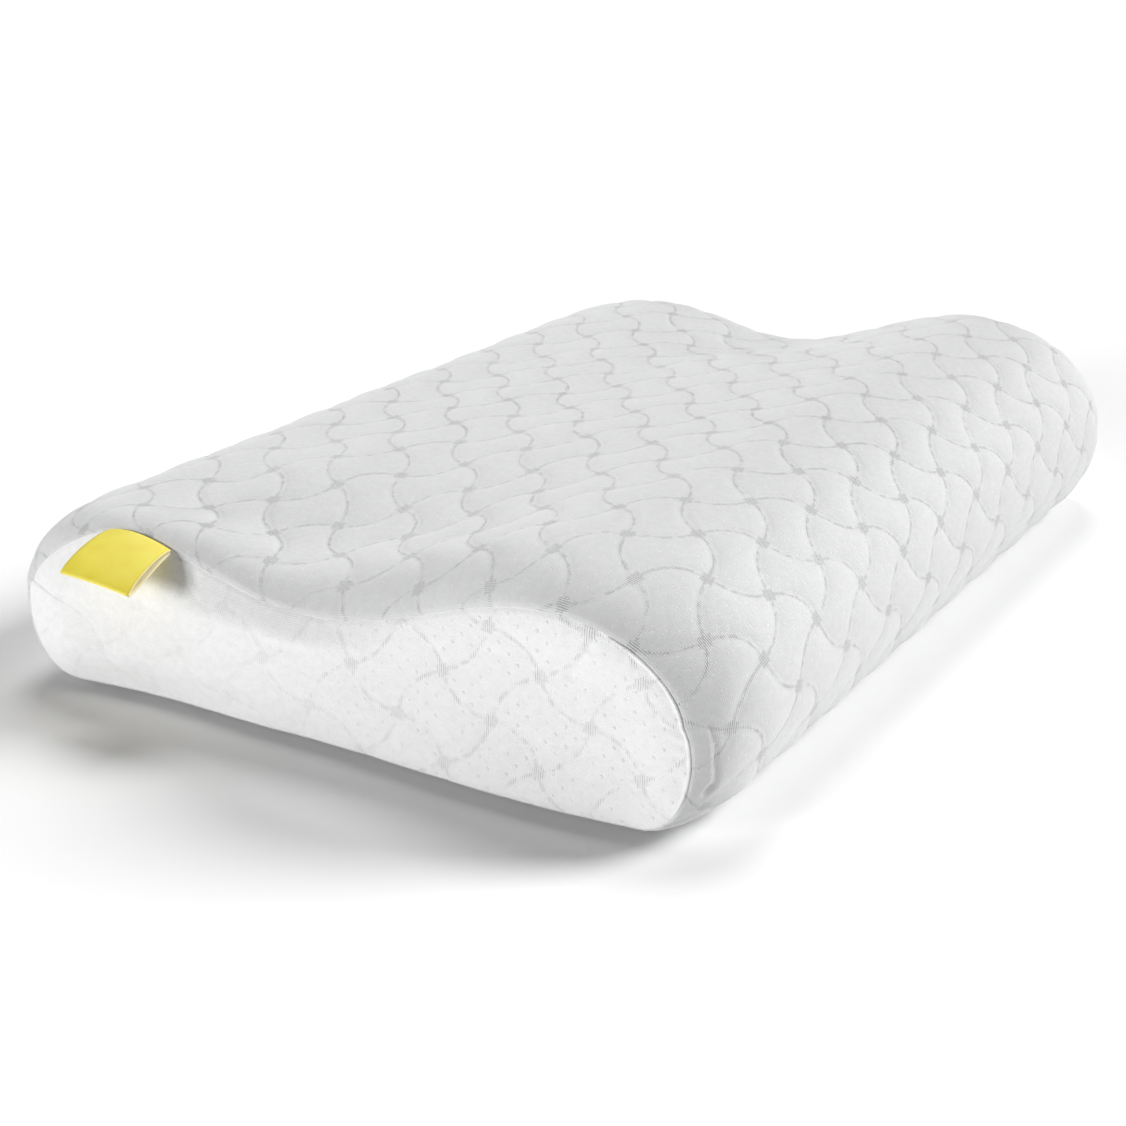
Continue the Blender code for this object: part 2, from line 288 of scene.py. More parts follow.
def wrap_stations():
    """(x, inset, cloth length from the middle) from the near seam to the far seam."""
    seam_angle = math.acos(1.0 - SEAM_INSET / ROLL_DEPTH)
    flat_end = LENGTH / 2 - ROLL_LENGTH
    closing = 1.0 - (1.0 - np.linspace(0.0, 1.0, ROLL_STEPS + 1)) ** ROLL_CLOSING
    angles = seam_angle * closing
    along = ROLL_LENGTH * np.sin(angles)
    inset = ROLL_DEPTH * (1.0 - np.cos(angles))
    cloth = np.concatenate([[0.0], np.cumsum(np.hypot(np.diff(along), np.diff(inset)))])
    roll = np.stack([flat_end + along, inset, flat_end + cloth], 1)
    count = int(2 * flat_end / WRAP_STEP)
    middle = np.linspace(-flat_end, flat_end, count + 1)[1:-1]
    flat = np.stack([middle, np.zeros_like(middle), middle], 1)
    near = roll[::-1] * (-1.0, 1.0, -1.0)
    return np.vstack([near, flat, roll])


def eased_table(place, places, values):
    """The table's value at a place, eased between its rows."""
    place = np.asarray(place, dtype=float)
    result = np.full(place.shape, values[0])
    for index in range(len(places) - 1):
        share = (place - places[index]) / (places[index + 1] - places[index])
        result += (values[index + 1] - values[index]) * smooth_step(share)
    return result


def roll_share(section):
    """The share of the roll's depth that each point of the section takes."""
    along_top = eased_table(section[:, 0], ROLL_Y, ROLL_SHARE)
    low, high = ROLL_SHARE_Z
    return 1.0 - (1.0 - along_top) * smooth_step((section[:, 1] - low) / (high - low))


def top_rise(x, section):
    """How far the top stands above the ends' section at one station along the pillow."""
    rise = np.zeros(len(section))
    for height, middle, reach, places, shares in TOP_RISES:
        off = np.clip(np.abs(section[:, 0] - middle) / reach, 0.0, 1.0)
        rise += height * eased_table(x, places, shares) * np.cos(np.pi / 2 * off) ** 2
    low, high = TOP_RISE_Z
    return rise * smooth_step((section[:, 1] - low) / (high - low))


def ring_at(section, draw, x, inset):
    """The section at one station as 3-D points, never below the surface it rests on."""
    ring = section + draw * (inset * roll_share(section))[:, None]
    ring[:, 1] += top_rise(x, section)
    ring[:, 1] = np.maximum(ring[:, 1], 0.0)
    share = smooth_step((abs(x) - (LENGTH / 2 - SWELL_REACH)) / SWELL_REACH)
    swollen = x + math.copysign(1.0, x) * eased_table(ring[:, 0], SWELL_Y, SWELL_X) * share
    return np.column_stack([swollen, ring])


def towards_spine(ring, share):
    """Draw a ring in towards a line through the middle of the end."""
    limit = WIDTH / 2 - SPINE_MARGIN
    spine_y = np.clip(ring[:, 1], -limit, limit)
    front_z = SPINE_HEIGHT * FRONT_HEIGHT
    back_z = SPINE_HEIGHT * BACK_HEIGHT
    spine_z = front_z + (back_z - front_z) * (spine_y + limit) / (2 * limit)
    drawn = ring.copy()
    drawn[:, 1] += (spine_y - ring[:, 1]) * share
    drawn[:, 2] += (spine_z - ring[:, 2]) * share
    return drawn


def end_rings(rim, side, depth, shares):
    """Rings of the crowned end, from its swollen rim to its flat middle, at a depth."""
    rings = []
    for share in shares:
        ring = towards_spine(rim, share)
        part_way = min(share / CROWN_SHARE, 1.0)
        ring[:, 0] += (side * LENGTH / 2 - ring[:, 0]) * smooth_step(part_way)
        ring[:, 0] += side * (PANEL_CROWN * math.sin(math.pi / 2 * part_way) - depth)
        rings.append(ring)
    return np.array(rings)


def surface_normals(grid):
    """Unit normals of a grid of closed rings."""
    along = np.gradient(grid, axis=0)
    around = np.roll(grid, -1, axis=1) - np.roll(grid, 1, axis=1)
    normals = np.cross(along, around)
    return normals / np.maximum(np.linalg.norm(normals, axis=2), 1e-12)[..., None]


# Quilting

def lattice_inverse(tiles):
    """The 2 by 2 matrix from metres of cloth to steps along the tiles' two directions."""
    return np.linalg.inv(np.array([tiles["first"], tiles["second"]]).T)


def tile_places(tiles, u, v):
    """Which tile a point of the cloth is in, on both directions of the curved lattice."""
    inverse = lattice_inverse(tiles)
    u = u - tiles["origin"][0]
    v = v - tiles["origin"][1]
    first = inverse[0, 0] * u + inverse[0, 1] * v
    second = inverse[1, 0] * u + inverse[1, 1] * v
    curved_first = first - TILE_WAVE * np.cos(np.pi * first) * np.sin(np.pi * second)
    curved_second = second + TILE_WAVE * np.sin(np.pi * first) * np.cos(np.pi * second)
    return curved_first, curved_second


def puff(tiles, u, v):
    """0 in the quilting's grooves, rising to 1 in the middle of each tile."""
    height = 1.0
    for place in tile_places(tiles, u, v):
        off = np.abs(place - np.round(place))
        height = height * (1.0 - (1.0 - 2.0 * off) ** PUFF_POWER)
    return height


def pressed(creases, u, v):
    """How deep the creases press the cloth in, fading towards both ends of each."""
    depth = np.zeros(u.shape)
    for start, end, width, deep in creases:
        step = np.subtract(end, start)
        length = float(np.hypot(*step))
        way = ((u - start[0]) * step[0] + (v - start[1]) * step[1]) / length
        beside = ((u - start[0]) * step[1] - (v - start[1]) * step[0]) / length
        past = np.maximum(np.maximum(-way, way - length), 0.0)
        depth = np.maximum(depth, deep * np.exp(-(beside ** 2 + past ** 2) / width ** 2))
    return depth


def ridge_share(ring):
    """How strongly the seam stands up as a ridge: only down the side of the fuller lobe."""
    outward = smooth_step((RIDGE_Y[0] - ring[:, 1]) / RIDGE_Y[1])
    return outward * smooth_step((ring[:, 2] - RIDGE_Z[0]) / RIDGE_Z[1])


def gathers(ring, edge):
    """Short gathers where the end panel is eased into its seam."""
    around = np.cumsum(np.linalg.norm(np.diff(ring, axis=0, prepend=ring[-1:]), axis=1))
    drift = GATHER_DRIFT[0] * np.sin(around * 2 * math.pi / GATHER_DRIFT[1])
    wave = np.sin(around * 2 * math.pi / GATHER_PITCH + drift)
    inner = smooth_step(1.0 - (edge - GATHER_REACH[0]) / GATHER_REACH[1])
    outer = smooth_step((edge - GATHER_START[0]) / GATHER_START[1])
    return wave[None, :] * (inner * outer)


def soft_noise(points, scale, seed):
    """Slow unevenness of stuffed cloth, -1 to 1, the same each time."""
    flat = points.reshape(-1, 3)
    values = [noise.noise((x * scale + seed, y * scale, z * scale)) for x, y, z in flat]
    return np.array(values).reshape(points.shape[:-1])


def wrap_relief(settings, rings, seam, u, v):
    """How far the wrap's cloth stands off the foam; seam is each ring's distance to its seam."""
    settled = WRAP_SETTLED
    shown = smooth_step((seam - settled["seam_from"]) / settled["seam_fade"])[:, None]
    least = settled["seam_puff"]
    relief = settings.puff * puff(WRAP_TILES, u, v) * (least + (1.0 - least) * shown)
    relief = relief + settings.unevenness * soft_noise(rings, **WRAP_UNEVEN) * shown
    least = settled["seam_sink"]
    sunk = least + (1.0 - least) * smooth_step(seam / settled["sink_fade"])
    relief = relief - settled["sink"] * sunk[:, None]
    dip = (1.0 - smooth_step(seam / settled["dip_reach"]))[:, None]
    dip = dip * (1.0 - settled["ridge_dip"] * ridge_share(rings[0])[None, :])
    relief = relief - settings.seam_depth * dip
    relief = relief - pressed(WRAP_CREASES, u, v)
    return relief * smooth_step((rings[..., 2] - settled["floor_from"]) / settled["floor_fade"])


def end_relief(settings, face, rim, shares):
    """How far an end panel's cloth stands off the crowned end at each point."""
    settled = END_SETTLED
    edge = np.linalg.norm(face - face[:1], axis=2)
    shown = smooth_step((edge - settled["seam_from"]) / settled["seam_fade"])
    quilt = puff(END_TILES, face[..., 1], face[..., 2])
    relief = settings.end_puff * (quilt - settled["level"]) * shown
    relief = relief + settings.unevenness * soft_noise(face, **END_UNEVEN) * shown
    ridge = ridge_share(rim)[None, :]
    dip = 1.0 - smooth_step(edge / settled["dip_reach"])
    relief = relief - settings.seam_depth * dip * (1.0 - ridge)
    crest = np.exp(-((edge - settled["ridge_place"]) / settled["ridge_width"]) ** 2)
    relief = relief + settings.ridge * ridge * crest
    least = settled["gather_least"]
    relief = relief + settled["gather_depth"] * gathers(rim, edge) * (least + (1.0 - least) * ridge)
    # the rings meet in a line along the middle, where the panel is drawn level
    level = smooth_step((shares - settled["middle_from"]) / settled["middle_fade"])
    return relief * (1.0 - level)[:, None]


def ribbon_grid(settings):
    """The folded ribbon's middle surface, across by along, and its two cloth coordinates."""
    section, draw, _ = cloth_section()
    seam = ring_at(section, draw, -wrap_stations()[-1, 0], SEAM_INSET)
    seam = seam[seam[:, 2] > BACK_BULGE_Z]
    seam = seam[np.argsort(seam[:, 1])]
    turns = np.arange(-RIBBON_STEPS, RIBBON_STEPS + 1) / RIBBON_STEPS
    out = settings.length * (1.0 - np.abs(turns) ** LABEL_FOLD_CURVE)
    lens = np.sin(np.pi * np.abs(turns)) ** LABEL_GAPE_CURVE
    half_gap = LABEL_ROOT_OPEN * np.abs(turns) + LABEL_GAPE * lens
    droop = LABEL_DROOP * (out / settings.length) ** LABEL_DROOP_CURVE
    up = np.sign(turns) * half_gap - droop
    across = np.linspace(-0.5, 0.5, RIBBON_COLUMNS + 1)
    bow = LABEL_BOW * (1.0 - (2 * across) ** 2)
    places = LABEL_ROOT_Y + settings.width * LABEL_ROOT_SHARE * across
    seam_x = np.interp(places, seam[:, 1], seam[:, 0])
    seam_z = np.interp(places, seam[:, 1], seam[:, 2])
    level_z = np.linspace(seam_z[0], seam_z[-1], RIBBON_COLUMNS + 1)
    free = smooth_step(out / settings.length / LABEL_STRAIGHT)[None, :]
    fold_y = LABEL_Y + settings.width * across
    grid = np.zeros((len(across), len(turns), 3))
    grid[..., 0] = seam_x[:, None] - LABEL_SEAT - RIBBON_SEAT - out[None, :]
    grid[..., 1] = places[:, None] + (fold_y - places)[:, None] * out / settings.length
    grid[..., 2] = (seam_z[:, None] * (1.0 - free) + level_z[:, None] * free
                    + up[None, :] + bow[:, None] * free)
    lengths = np.concatenate([[0.0], np.cumsum(np.hypot(np.diff(out), np.diff(up)))])
    return grid, across * settings.width, lengths


# Mesh making

def loft_mesh(name, rings, cloth_u, cloth_v):
    """A closed mesh through rings of equal length, with its cloth coordinates as a UV map."""
    count_rings, count = rings.shape[:2]
    points = rings.reshape(-1, 3)
    ring_index = np.arange(count_rings - 1)[:, None] * count
    here = np.arange(count)[None, :]
    after = (here + 1) % count
    quads = np.stack([ring_index + here, ring_index + after,
                      ring_index + count + after, ring_index + count + here], -1).reshape(-1, 4)
    start = list(range(count))[::-1]
    last = list(range((count_rings - 1) * count, count_rings * count))
    mesh = bpy.data.meshes.new(name)
    mesh.from_pydata(points.tolist(), [], quads.tolist() + [start, last])
    mesh.update()
    loops = np.zeros(len(mesh.loops), dtype=np.int32)
    mesh.loops.foreach_get("vertex_index", loops)
    u = cloth_u.reshape(-1)[loops]
    v = cloth_v.reshape(-1)[loops]
    # the ring's last column closes on its first, so its cloth length runs on
    turn = float(cloth_v[count_rings // 2, 1] - cloth_v[count_rings // 2, 0])
    whole = float(cloth_v[count_rings // 2, -1] - cloth_v[count_rings // 2, 0]) + abs(turn)
    quad_loops = len(quads) * 4
    corner = np.arange(quad_loops) % 4
    column = loops[:quad_loops] % count
    wraps = (np.repeat(quads[:, 0] % count, 4) == count - 1) & (column == 0) & (
        (corner == 1) | (corner == 2))
    v[:quad_loops][wraps] += whole
    layer = mesh.uv_layers.new(name="cloth")
    layer.data.foreach_set("uv", np.stack([u, v], 1).astype(np.float32).ravel())
    split_wide_faces(mesh)
    mesh.shade_smooth()
    return mesh


def split_wide_faces(mesh):
    """Cut the many-sided faces that close a loft into triangles, so they shade evenly."""
    work = bmesh.new()
    work.from_mesh(mesh)
    wide = [face for face in work.faces if len(face.verts) > 4]
    bmesh.ops.triangulate(work, faces=wide, ngon_method="BEAUTY")
    work.to_mesh(mesh)
    work.free()


def add_piece(name, mesh, material, slot, *nodes):
    """Put a mesh into the scene as a piece that stands for CAD nodes."""
    mesh.materials.clear()
    mesh.materials.append(material)
    piece = bpy.data.objects.new(name, mesh)
    bpy.context.scene.collection.objects.link(piece)
    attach(piece, "root")
    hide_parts(*nodes)
    return piece


# Materials

class Nodes:
    """Short calls for building a material's nodes."""

    def __init__(self, name):
        self.material = bpy.data.materials.new(name)
        self.material.use_nodes = True
        self.tree = self.material.node_tree
        self.shader = self.tree.nodes["Principled BSDF"]

    def link(self, source, socket):
        self.tree.links.new(source, socket)

    def put(self, socket, value):
        if hasattr(value, "is_output"):
            self.link(value, socket)
        else:
            socket.default_value = value

    def math(self, operation, *values, clamp=False):
        node = self.tree.nodes.new("ShaderNodeMath")
        node.operation = operation
        node.use_clamp = clamp
        for socket, value in zip(node.inputs, values):
            self.put(socket, value)
        return node.outputs[0]

    def cloth(self):
        node = self.tree.nodes.new("ShaderNodeUVMap")
        node.uv_map = "cloth"
        split = self.tree.nodes.new("ShaderNodeSeparateXYZ")
        self.link(node.outputs["UV"], split.inputs[0])
        return node.outputs["UV"], split.outputs[0], split.outputs[1]

    def noise(self, vector, scale, detail=2.0, roughness=0.5):
        node = self.tree.nodes.new("ShaderNodeTexNoise")
        self.put(node.inputs["Vector"], vector)
        node.inputs["Scale"].default_value = scale
        node.inputs["Detail"].default_value = detail
        node.inputs["Roughness"].default_value = roughness
        return node.outputs[0]

    def ramp(self, value, low, high, low_out=0.0, high_out=1.0):
        node = self.tree.nodes.new("ShaderNodeMapRange")
        node.interpolation_type = "SMOOTHSTEP"
        self.put(node.inputs["Value"], value)
        node.inputs["From Min"].default_value = low
        node.inputs["From Max"].default_value = high
        node.inputs["To Min"].default_value = low_out
        node.inputs["To Max"].default_value = high_out
        return node.outputs[0]

    def mix(self, share, first, second):
        node = self.tree.nodes.new("ShaderNodeMix")
        node.data_type = "RGBA"
        self.put(node.inputs["Factor"], share)
        for socket, value in ((node.inputs["A"], first), (node.inputs["B"], second)):
            self.put(socket, value if hasattr(value, "is_output") else (*value, 1.0))
        return node.outputs["Result"]

    def bump(self, height, strength, distance):
        node = self.tree.nodes.new("ShaderNodeBump")
        self.put(node.inputs["Height"], height)
        node.inputs["Strength"].default_value = strength
        node.inputs["Distance"].default_value = distance
        return node.outputs[0]

    def total(self, *parts):
        """A weighted sum: each part is (value, weight)."""
        result = None
        for value, weight in parts:
            term = self.math("MULTIPLY", value, weight)
            result = term if result is None else self.math("ADD", result, term)
        return result


def tile_nodes(n, tiles, u, v):
    """The tiles' curved lattice in nodes: distance to the nearest groove, and to a corner."""
    inverse = lattice_inverse(tiles)
    u = n.math("SUBTRACT", u, tiles["origin"][0])
    v = n.math("SUBTRACT", v, tiles["origin"][1])
    flat = [n.total((u, float(row[0])), (v, float(row[1]))) for row in inverse]
    turns = [n.math("MULTIPLY", value, math.pi) for value in flat]
    sines = [n.math("SINE", turn) for turn in turns]
    cosines = [n.math("COSINE", turn) for turn in turns]
    bends = [n.math("MULTIPLY", n.math("MULTIPLY", cosines[0], sines[1]), TILE_WAVE),
             n.math("MULTIPLY", n.math("MULTIPLY", sines[0], cosines[1]), TILE_WAVE)]
    curved = [n.math("SUBTRACT", flat[0], bends[0]), n.math("ADD", flat[1], bends[1])]
    offs = []
    for value, step in zip(curved, (tiles["first"], tiles["second"])):
        off = n.math("ABSOLUTE", n.math("SUBTRACT", value, n.math("ROUND", value)))
        offs.append(n.math("MULTIPLY", off, float(np.hypot(*step))))
    return n.math("MINIMUM", *offs), n.math("MAXIMUM", *offs)


def pin_nodes(n, vector, u, v, nearest, step):
    """Pin dots on a slanting grid, clear of the grooves, some of them missing or faint."""
    drift = n.math("MULTIPLY", n.noise(vector, KNIT_NOISE["drift"]), PIN_DRIFT)
    pins = []
    for sign in (1.0, -1.0):
        part = n.math("ADD", n.total((u, 1.0), (v, sign)), drift)
        wave = n.math("COSINE", n.math("MULTIPLY", part, math.pi / step))
        pins.append(n.math("MULTIPLY", wave, wave))
    pin = n.ramp(n.math("MULTIPLY", *pins), 0.78, 0.97)
    pin = n.math("MULTIPLY", pin, n.ramp(nearest, 0.0022, 0.0034))
    missing = n.noise(vector, KNIT_NOISE["missing"])
    return n.math("MULTIPLY", pin, n.ramp(missing, 0.34, 0.60, 0.05, 1.0))


def rib_nodes(n, vector, u, waver, nearest, knot, band_width):
    """Tie stitches: short ribs across each groove, and a ribbed knot at each corner."""
    band = n.ramp(nearest, 0.35 * band_width, band_width, 1.0, 0.0)
    turn = n.math("ADD", n.math("MULTIPLY", u, 2 * math.pi / RIB_STEP),
                  n.math("MULTIPLY", waver, RIB_WAVER))
    ribs = n.ramp(n.math("SINE", turn), -0.6, 0.6, -1.0, 1.0)
    broken = n.ramp(n.noise(vector, KNIT_NOISE["broken"]), 0.36, 0.60)
    ribbed = n.math("MAXIMUM", n.math("MULTIPLY", band, broken), knot)
    return n.math("MULTIPLY", ribs, ribbed), ribbed


def knit_material(name, colour, tiles, knit):
    """A pale jacquard knit: curved grooves with tie stitches, pin dots and fine rows."""
    n = Nodes(name)
    vector, u, v = n.cloth()
    nearest, farther = tile_nodes(n, tiles, u, v)
    worn = n.ramp(n.noise(vector, KNIT_NOISE["worn"], 3.0), 0.36, 0.60, 0.30, 1.0)
    groove = n.math("MULTIPLY", n.ramp(nearest, 0.0001, 0.0008, 1.0, 0.0), worn)
    rim = n.math("MULTIPLY", n.ramp(nearest, 0.0010, 0.0022),
                 n.ramp(nearest, 0.0026, 0.0052, 1.0, 0.0))
    waver = n.noise(vector, KNIT_NOISE["waver"])
    reach = knit["knot_reach"]
    knot = n.ramp(farther, 0.72 * reach, reach, 1.0, 0.0)
    ribs, ribbed = rib_nodes(n, vector, u, waver, nearest, knot, knit["rib_band"])
    pin = pin_nodes(n, vector, u, v, nearest, knit["pin_step"])
    # pulled smooth over the lower lobe, the end's knit shows less there; the same ramp also paints
    # shade towards the fuller lobe
    if knit["slack_and_shade"]:
        slack_and_shade = n.ramp(u, *knit["slack_and_shade"])
        pin = n.math("MULTIPLY", pin, n.math("MAXIMUM", slack_and_shade, SLACK_LEAST_PINS))
        ribs = n.math("MULTIPLY", ribs, n.total((slack_and_shade, 0.5), (1.0, 0.5)))
    # the knit's rows and loops
    rows = n.math("SINE", n.math("ADD", n.math("MULTIPLY", v, 2 * math.pi / ROW_STEP),
                                 n.math("MULTIPLY", waver, ROW_WAVER)))
    loops = n.math("SINE", n.math("MULTIPLY", u, 2 * math.pi / LOOP_STEP))
    fuzz = n.noise(vector, KNIT_NOISE["fuzz"], 4.0, 0.65)
    height = n.total((groove, -knit["groove_depth"]), (rim, 0.10), (knot, -0.14),
                     (ribs, knit["rib_height"]), (pin, knit["pin_height"]),
                     (rows, 0.045), (loops, 0.030), (fuzz, 0.12))
    n.link(n.bump(height, 1.0, KNIT_RELIEF), n.shader.inputs["Normal"])
    # colour: painted shade in the grooves, rib hollows, corner knots and pin dimples; darker in the
    # fuzz, in slow patches and small mottles
    # painted shade in the hollows between the tie stitches' ribs
    hollow = n.math("MULTIPLY", n.ramp(ribs, -1.0, 0.1, 1.0, 0.0), ribbed)
    shade = n.total((groove, knit["groove_painted_shade"]), (hollow, knit["rib_painted_shade"]),
                    (pin, knit["pin_painted_shade"]), (knot, knit["knot_painted_shade"]))
    dark = tuple(channel * 0.55 for channel in colour)
    light = tuple(min(1.0, channel * 1.04) for channel in colour)
    patches = n.ramp(n.noise(vector, KNIT_NOISE["patches"], 3.0), 0.3, 0.7)
    mottle = n.noise(vector, KNIT_NOISE["mottle"], 3.0)
    base = n.mix(n.math("MULTIPLY", shade, 1.0, clamp=True), colour, dark)
    base = n.mix(n.math("MULTIPLY", patches, 0.5), base, light)
    base = n.mix(n.ramp(fuzz, 0.30, 0.62, 0.10, 0.0), base, dark)
    base = n.mix(n.ramp(mottle, 0.36, 0.64, 0.08, 0.0), base, dark)
    # painted highlight: the raised pin dots are painted lighter
    if knit["pin_painted_highlight"]:
        base = n.mix(n.math("MULTIPLY", pin, knit["pin_painted_highlight"]), base, (0.97, 0.97, 0.97))
    # painted shade: the end panels' knit is painted darker towards the fuller lobe
    if knit["slack_and_shade"]:
        base = n.mix(n.math("MULTIPLY", slack_and_shade, END_SIDE_PAINTED_SHADE), base, dark)
    n.link(base, n.shader.inputs["Base Color"])
    n.link(n.ramp(fuzz, 0.2, 0.8, 0.80, 0.95), n.shader.inputs["Roughness"])
    n.shader.inputs["Specular IOR Level"].default_value = 0.25
    n.shader.inputs["Sheen Weight"].default_value = 0.25
    n.shader.inputs["Sheen Roughness"].default_value = 0.5
    return n.material


def satin_material(name, colour):
    """Satin ribbon: fine ribs across it, a tighter woven edge and a slightly uneven colour."""
    n = Nodes(name)
    vector, u, v = n.cloth()
    ribs = n.math("SINE", n.math("MULTIPLY", v, 2 * math.pi / SATIN_RIB_STEP))
    weave = n.math("SINE", n.math("MULTIPLY", u, 2 * math.pi / SATIN_WEAVE_STEP))
    slubs = n.noise(vector, 700.0, 3.0)
    from_edge = n.math("SUBTRACT", SATIN_HALF_WIDTH, n.math("ABSOLUTE", u))
    edge = n.ramp(from_edge, 0.0008, 0.0016, 1.0, 0.0)
    height = n.total((ribs, 0.30), (weave, 0.14), (slubs, 0.35), (edge, 0.6))
    n.link(n.bump(height, 0.5, SATIN_RELIEF), n.shader.inputs["Normal"])
    uneven = n.noise(vector, 80.0)
    deep = tuple(channel * factor for channel, factor in zip(colour, (0.97, 0.93, 0.75)))
    worn = tuple(min(1.0, channel * 0.90) for channel in deep)
    base = n.mix(n.ramp(uneven, 0.35, 0.7), colour, deep)
    base = n.mix(n.math("MULTIPLY", edge, 0.5), base, worn)
    n.link(base, n.shader.inputs["Base Color"])
    n.link(n.ramp(slubs, 0.2, 0.8, 0.38, 0.55), n.shader.inputs["Roughness"])
    n.shader.inputs["Anisotropic"].default_value = 0.4
    n.shader.inputs["Sheen Weight"].default_value = 0.1
    return n.material


def floor_material(colour):
    """A matt pale studio floor with the faintest unevenness."""
    n = Nodes("studio floor")
    place = n.tree.nodes.new("ShaderNodeNewGeometry").outputs["Position"]
    mottled = n.noise(place, 3.0)
    base = n.mix(n.ramp(mottled, 0.3, 0.7, 0.0, 0.02), colour, (0.9, 0.9, 0.9))
    n.link(base, n.shader.inputs["Base Color"])
    n.shader.inputs["Roughness"].default_value = 0.95
    n.shader.inputs["Specular IOR Level"].default_value = 0.1
    return n.material


# Settings that a user would change

class PillowCoverSettings(bpy.types.PropertyGroup):
    """The quilted wrap and the end panels."""
    puff: FloatProperty(
        name="Tile puff", description="How far the middle of a quilted tile stands up",
        default=0.0011, min=0.0, max=0.004, subtype="DISTANCE", unit="LENGTH")
    end_puff: FloatProperty(
        name="End tile puff", description="The same on the end panels, which are pulled flatter",
        default=0.0005, min=0.0, max=0.002, subtype="DISTANCE", unit="LENGTH")
    unevenness: FloatProperty(
        name="Unevenness", description="Slow rise and fall of the stuffed cloth",
        default=0.0007, min=0.0, max=0.003, subtype="DISTANCE", unit="LENGTH")
    seam_depth: FloatProperty(
        name="Seam depth", description="How deep the end seams pull in",
        default=0.0004, min=0.0, max=0.003, subtype="DISTANCE", unit="LENGTH")
    ridge: FloatProperty(
        name="Seam ridge", description="How far the seam stands up beside the fuller lobe",
        default=0.0006, min=0.0, max=0.003, subtype="DISTANCE", unit="LENGTH")
    # painted shade: the wrap is the same white knit as the end panels, but is given a darker colour
    # for how light falls on it
    wrap_shaded_colour: FloatVectorProperty(
        name="Wrap colour", description="Colour of the wrap's knit", subtype="COLOR", size=3,
        default=(0.690, 0.692, 0.697), min=0.0, max=1.0)
    end_colour: FloatVectorProperty(
        name="End colour", description="Colour of the end panels' knit", subtype="COLOR", size=3,
        default=(0.875, 0.875, 0.88), min=0.0, max=1.0)


class PillowLabelSettings(bpy.types.PropertyGroup):
    """The folded ribbon in the near end's seam."""
    width: FloatProperty(
        name="Width", description="Ribbon width", default=0.040, min=0.02, max=0.045,
        subtype="DISTANCE", unit="LENGTH")
    length: FloatProperty(
        name="Length", description="From the seam to the fold", default=0.032, min=0.02,
        max=0.046, subtype="DISTANCE", unit="LENGTH")
    colour: FloatVectorProperty(
        name="Ribbon colour", description="Colour of the ribbon's satin face", subtype="COLOR",
        size=3, default=(0.90, 0.78, 0.085), min=0.0, max=1.0)
    inside_colour: FloatVectorProperty(
        name="Back colour", description="Colour of the ribbon's pale back", subtype="COLOR",
        size=3, default=(0.95, 0.88, 0.62), min=0.0, max=1.0)


class PillowStageSettings(bpy.types.PropertyGroup):
    """Floor, light and camera."""
    floor_colour: FloatVectorProperty(
        name="Floor colour", description="Colour of the studio floor", subtype="COLOR", size=3,
        default=(0.98, 0.98, 0.98), min=0.0, max=1.0)
    side_strength: FloatProperty(
        name="Side light", description="Strength of the soft light beyond the fuller lobe",
        default=3.30, min=0.0)
    low_strength: FloatProperty(
        name="Low light", description="Strength of the low light on the near end",
        default=2.35, min=0.0)
    high_strength: FloatProperty(
        name="High light", description="Strength of the light high above the far end",
        default=1.20, min=0.0)
    sky: FloatProperty(
        name="Surrounding light", description="Strength of the even light all round",
        default=0.04, min=0.0)


# Operators

class PILLOW_OT_cover_wrap(bpy.types.Operator):
    """Make the quilted knit wrap round the foam, with its rolled ends"""
    bl_idname = "pillow.cover_wrap"
    bl_label = "Quilted wrap"

    def execute(self, context):
        settings = context.scene.pillow_cover
        section, draw, around = cloth_section()
        stations = wrap_stations()
        rings = np.array([ring_at(section, draw, x, inset) for x, inset, _ in stations])
        along = np.repeat(stations[:, 2][:, None], len(section), axis=1)
        across = np.repeat(around[None, :], len(stations), axis=0)
        seam = np.abs(stations[-1, 2]) - np.abs(stations[:, 2])
        relief = wrap_relief(settings, rings, seam, along, across)
        normals = surface_normals(rings)
        upward = normals[len(rings) // 2, :, 2] * (section[:, 1] - FRONT_BULGE_Z)
        rings = rings + normals * np.sign(upward.sum()) * relief[..., None]
        rings[..., 2] = np.maximum(rings[..., 2], 0.0)
        # under each end panel the wrap goes on as the seat that the panel lies on
        seats = []
        for side, station in ((-1, stations[0]), (1, stations[-1])):
            rim = ring_at(section, draw, station[0], SEAM_INSET)
            seats.append(end_rings(rim, side, PANEL_THICKNESS + PANEL_GAP, WRAP_FLOOR_SHARES))
        rings = np.concatenate([seats[0][::-1], rings, seats[1]])
        beside = ((len(WRAP_FLOOR_SHARES),) * 2, (0, 0))
        along = np.pad(along, beside, mode="edge")
        across = np.pad(across, beside, mode="edge")
        mesh = loft_mesh("cover_wrap", rings, along, across)
        # the wrap's colour carries painted shade
        colour = tuple(settings.wrap_shaded_colour)
        material = knit_material("wrap knit", colour, WRAP_TILES, WRAP_KNIT)
        piece = add_piece("cover_wrap", mesh, material, "knit_cover", "filled_wrap")
        return {"FINISHED"}


